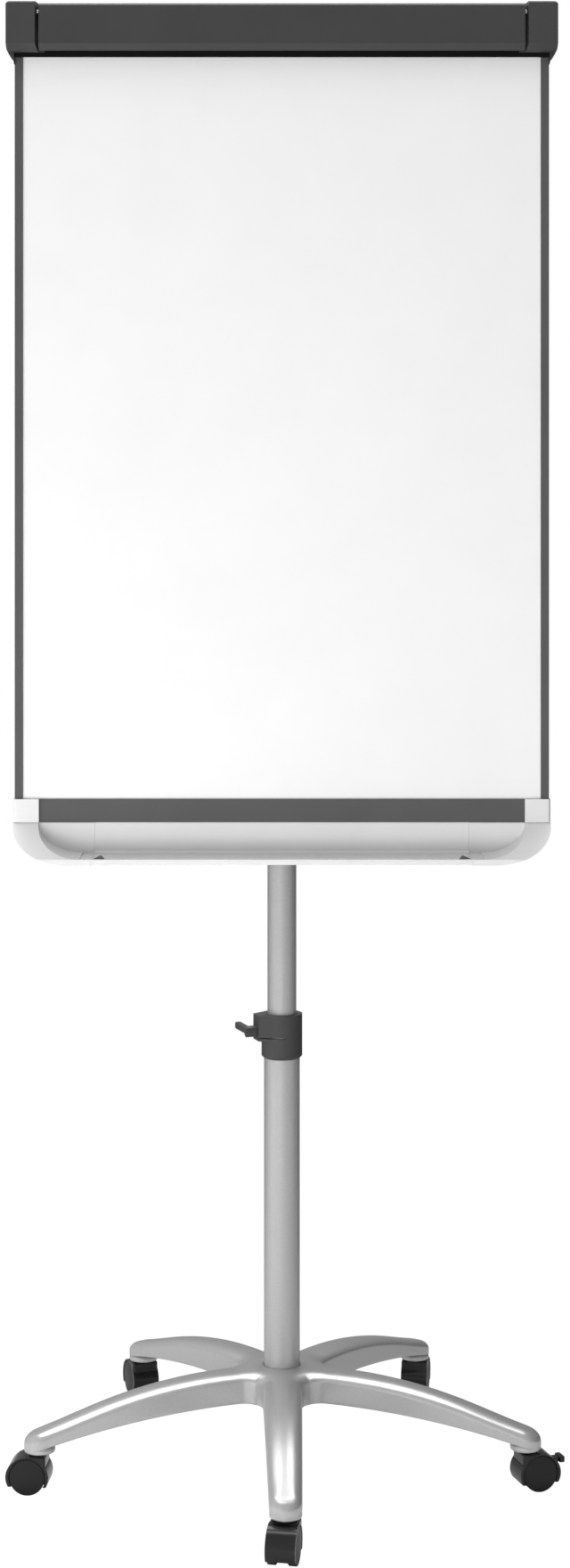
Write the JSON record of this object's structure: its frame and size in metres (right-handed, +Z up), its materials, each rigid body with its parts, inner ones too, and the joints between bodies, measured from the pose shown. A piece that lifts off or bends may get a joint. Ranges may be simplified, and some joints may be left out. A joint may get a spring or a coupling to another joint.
{
  "type": "flip chart easel",
  "caption": "Mobile flip chart easel: framed white board with a sprung pad clamp and pen tray, on a telescoping swivel mast and a star base with twin-wheel castors.",
  "frame": {"origin": "point on the floor under the axis of the mast", "axes": "+Z up, -Y towards the reader, the side the board faces, +X to the reader's right"},
  "size_m": [0.6302, 0.5964, 1.6723],
  "materials": {
    "silver_casting": "satin silver paint",
    "silver_tube": "satin silver paint",
    "graphite_plastic": "fine matt",
    "graphite_metal": "satin powder coat",
    "black_metal": "matt black coat",
    "white_lacquer": "gloss lacquer",
    "core_board": "raw board",
    "zinc_sheet": "zinc coated",
    "light_plastic": "fine satin",
    "black_nylon": "gloss",
    "wheel_nylon": "satin",
    "bright_steel": "zinc plated",
    "brass": "turned",
    "grey_plastic": "matt"
  },
  "bodies": {
    "base": {"base_star": "silver_casting", "lower_tube": "silver_tube", "mast_plug": "bright_steel", "base_bolt": "bright_steel", "base_washer": "zinc_sheet", "clamp_collar": "graphite_plastic", "clamp_insert": "brass", "castor_stems": "bright_steel", "stem_rings": "bright_steel"},
    "bush": {"mast_bush": "grey_plastic"},
    "board": {"upper_tube": "silver_tube", "glide_ring": "grey_plastic", "bracket_lower": "zinc_sheet", "bracket_upper": "zinc_sheet", "bracket_screws": "bright_steel", "panel_face": "white_lacquer", "panel_core": "core_board", "panel_back": "zinc_sheet", "side_rail_left": "graphite_metal", "side_rail_right": "graphite_metal", "bottom_rail": "graphite_metal", "head_rail": "black_metal", "head_cap_left": "graphite_plastic", "head_cap_right": "graphite_plastic", "tray": "light_plastic", "tray_end_left": "light_plastic", "tray_end_right": "light_plastic", "corner_block_left": "light_plastic", "corner_block_right": "light_plastic", "tray_screws": "bright_steel", "tray_clips": "light_plastic", "hinge_pins": "bright_steel", "clamp_springs": "bright_steel"},
    "lever": {"clamp_lever": "graphite_plastic", "clamp_screw": "bright_steel"},
    "clamp": {"clamp_bar": "graphite_metal"},
    "peg_left": {"peg_left": "grey_plastic"},
    "peg_right": {"peg_right": "grey_plastic"},
    "castor_front": {"hood_front": "black_nylon", "axle_front": "bright_steel"},
    "wheel_a_front": {"wheel_a_front": "wheel_nylon"},
    "wheel_b_front": {"wheel_b_front": "wheel_nylon"},
    "castor_right": {"hood_right": "black_nylon", "axle_right": "bright_steel"},
    "wheel_a_right": {"wheel_a_right": "wheel_nylon"},
    "wheel_b_right": {"wheel_b_right": "wheel_nylon"},
    "pedal_right": {"brake_pedal_right": "black_nylon"},
    "castor_back_right": {"hood_back_right": "black_nylon", "axle_back_right": "bright_steel"},
    "wheel_a_back_right": {"wheel_a_back_right": "wheel_nylon"},
    "wheel_b_back_right": {"wheel_b_back_right": "wheel_nylon"},
    "castor_back_left": {"hood_back_left": "black_nylon", "axle_back_left": "bright_steel"},
    "wheel_a_back_left": {"wheel_a_back_left": "wheel_nylon"},
    "wheel_b_back_left": {"wheel_b_back_left": "wheel_nylon"},
    "castor_left": {"hood_left": "black_nylon", "axle_left": "bright_steel"},
    "wheel_a_left": {"wheel_a_left": "wheel_nylon"},
    "wheel_b_left": {"wheel_b_left": "wheel_nylon"}
  },
  "joints": [
    {"name": "mast_swivel", "type": "hinge", "parent": "base", "child": "bush", "pos_m": [0, 0, 0.485], "axis": [0, 0, 1], "continuous": true},
    {"name": "height_slide", "type": "slide", "parent": "bush", "child": "board", "axis": [0, 0, 1], "range_m": [-0.15, 0.15]},
    {"name": "clamp_bar_hinge", "type": "hinge", "parent": "board", "child": "clamp", "pos_m": [0, -0.05, 1.662], "axis": [1, 0, 0], "range_deg": [-85, 0], "stiffness_Nm_per_rad": 0.8, "springref_deg": 11.46},
    {"name": "peg_left_slide", "type": "slide", "parent": "board", "child": "peg_left", "axis": [1, 0, 0], "range_m": [-0.045, 0.09]},
    {"name": "peg_right_slide", "type": "slide", "parent": "board", "child": "peg_right", "axis": [1, 0, 0], "range_m": [-0.09, 0.045]},
    {"name": "lever_turn", "type": "hinge", "parent": "base", "child": "lever", "pos_m": [-0.02969, -0.01081, 0.4985], "axis": [-0.9397, -0.342, 0], "range_deg": [-120, 120]},
    {"name": "swivel_front", "type": "hinge", "parent": "base", "child": "castor_front", "pos_m": [0.00399, -0.28597, 0.03], "axis": [0, 0, 1], "continuous": true},
    {"name": "roll_a_front", "type": "hinge", "parent": "castor_front", "child": "wheel_a_front", "pos_m": [0.00191, -0.29779, 0.02], "axis": [0.9848, -0.1736, 0], "continuous": true},
    {"name": "roll_b_front", "type": "hinge", "parent": "castor_front", "child": "wheel_b_front", "pos_m": [0.00191, -0.29779, 0.02], "axis": [0.9848, -0.1736, 0], "continuous": true},
    {"name": "swivel_right", "type": "hinge", "parent": "base", "child": "castor_right", "pos_m": [0.27321, -0.08457, 0.03], "axis": [0, 0, 1], "continuous": true},
    {"name": "roll_a_right", "type": "hinge", "parent": "castor_right", "child": "wheel_a_right", "pos_m": [0.28462, -0.08086, 0.02], "axis": [-0.309, 0.9511, 0], "continuous": true},
    {"name": "roll_b_right", "type": "hinge", "parent": "castor_right", "child": "wheel_b_right", "pos_m": [0.28462, -0.08086, 0.02], "axis": [-0.309, 0.9511, 0], "continuous": true},
    {"name": "brake_right", "type": "hinge", "parent": "castor_right", "child": "pedal_right", "pos_m": [0.29794, -0.07654, 0.03], "axis": [-0.309, 0.9511, 0], "range_deg": [0, 15]},
    {"name": "swivel_back_right", "type": "hinge", "parent": "base", "child": "castor_back_right", "pos_m": [0.16486, 0.2337, 0.03], "axis": [0, 0, 1], "continuous": true},
    {"name": "roll_a_back_right", "type": "hinge", "parent": "castor_back_right", "child": "wheel_a_back_right", "pos_m": [0.16674, 0.24556, 0.02], "axis": [-0.9877, 0.1564, 0], "continuous": true},
    {"name": "roll_b_back_right", "type": "hinge", "parent": "castor_back_right", "child": "wheel_b_back_right", "pos_m": [0.16674, 0.24556, 0.02], "axis": [-0.9877, 0.1564, 0], "continuous": true},
    {"name": "swivel_back_left", "type": "hinge", "parent": "base", "child": "castor_back_left", "pos_m": [-0.17132, 0.22901, 0.03], "axis": [0, 0, 1], "continuous": true},
    {"name": "roll_a_back_left", "type": "hinge", "parent": "castor_back_left", "child": "wheel_a_back_left", "pos_m": [-0.17542, 0.24028, 0.02], "axis": [-0.9397, -0.342, 0], "continuous": true},
    {"name": "roll_b_back_left", "type": "hinge", "parent": "castor_back_left", "child": "wheel_b_back_left", "pos_m": [-0.17542, 0.24028, 0.02], "axis": [-0.9397, -0.342, 0], "continuous": true},
    {"name": "swivel_left", "type": "hinge", "parent": "base", "child": "castor_left", "pos_m": [-0.27074, -0.09217, 0.03], "axis": [0, 0, 1], "continuous": true},
    {"name": "roll_a_left", "type": "hinge", "parent": "castor_left", "child": "wheel_a_left", "pos_m": [-0.2827, -0.09112, 0.02], "axis": [-0.0872, -0.9962, 0], "continuous": true},
    {"name": "roll_b_left", "type": "hinge", "parent": "castor_left", "child": "wheel_b_left", "pos_m": [-0.2827, -0.09112, 0.02], "axis": [-0.0872, -0.9962, 0], "continuous": true}
  ]
}
